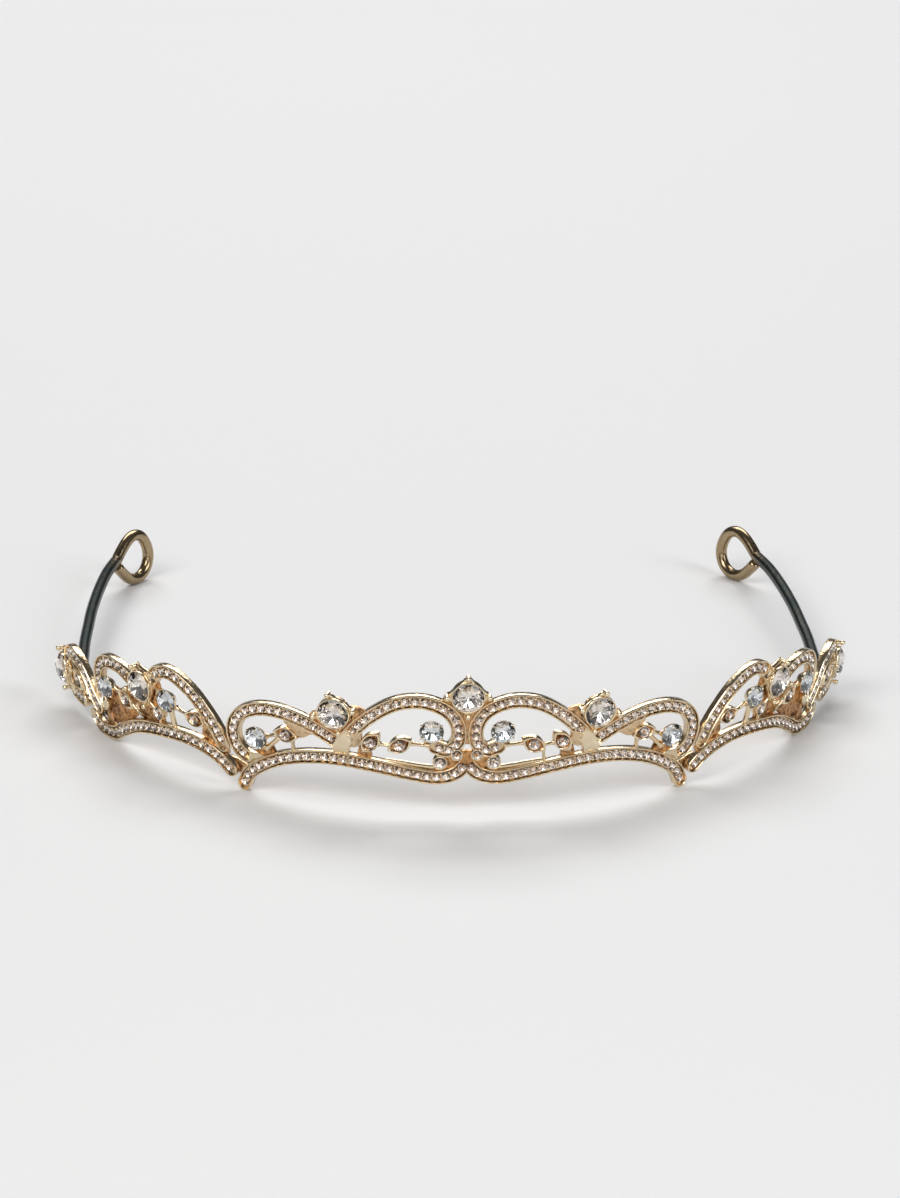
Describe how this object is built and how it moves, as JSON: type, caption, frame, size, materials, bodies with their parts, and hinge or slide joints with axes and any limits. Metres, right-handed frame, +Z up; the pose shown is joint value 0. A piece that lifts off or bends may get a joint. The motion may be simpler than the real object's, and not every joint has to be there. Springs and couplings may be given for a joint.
{
  "type": "tiara",
  "caption": "Open-backed scrolled metal tiara with paved channel arches, round stones in claw and cup settings, and side wires that end in teardrop loops.",
  "frame": {"origin": "on the ring's axis, at the height of the floor that the tiara stands on", "axes": "+Z up, +Y from the front to the open back, +X to the right as seen from the front"},
  "size_m": [0.1406, 0.1195, 0.0263],
  "materials": {
    "gold": "polished gold plate on a cast alloy",
    "wire": "polished gold plate on steel wire",
    "stone": "clear faceted glass"
  },
  "bodies": {
    "root": {"centre_frame": "gold", "side_frame_left": "gold", "side_frame_right": "gold", "end_frame_left": "gold", "end_frame_right": "gold", "side_wire_left": "wire", "side_wire_right": "wire", "centre_setting": "gold", "crest_setting_left": "gold", "crest_setting_right": "gold", "side_setting_left": "gold", "side_setting_right": "gold", "end_setting_left": "gold", "end_setting_right": "gold", "centre_stone": "stone", "crest_stone_left": "stone", "crest_stone_right": "stone", "side_stone_left": "stone", "side_stone_right": "stone", "end_stone_left": "stone", "end_stone_right": "stone", "arch_stone_left": "stone", "arch_stone_right": "stone", "scroll_stone_left": "stone", "scroll_stone_right": "stone", "inner_stone_left": "stone", "inner_stone_right": "stone", "outer_stone_left": "stone", "outer_stone_right": "stone"}
  },
  "joints": []
}
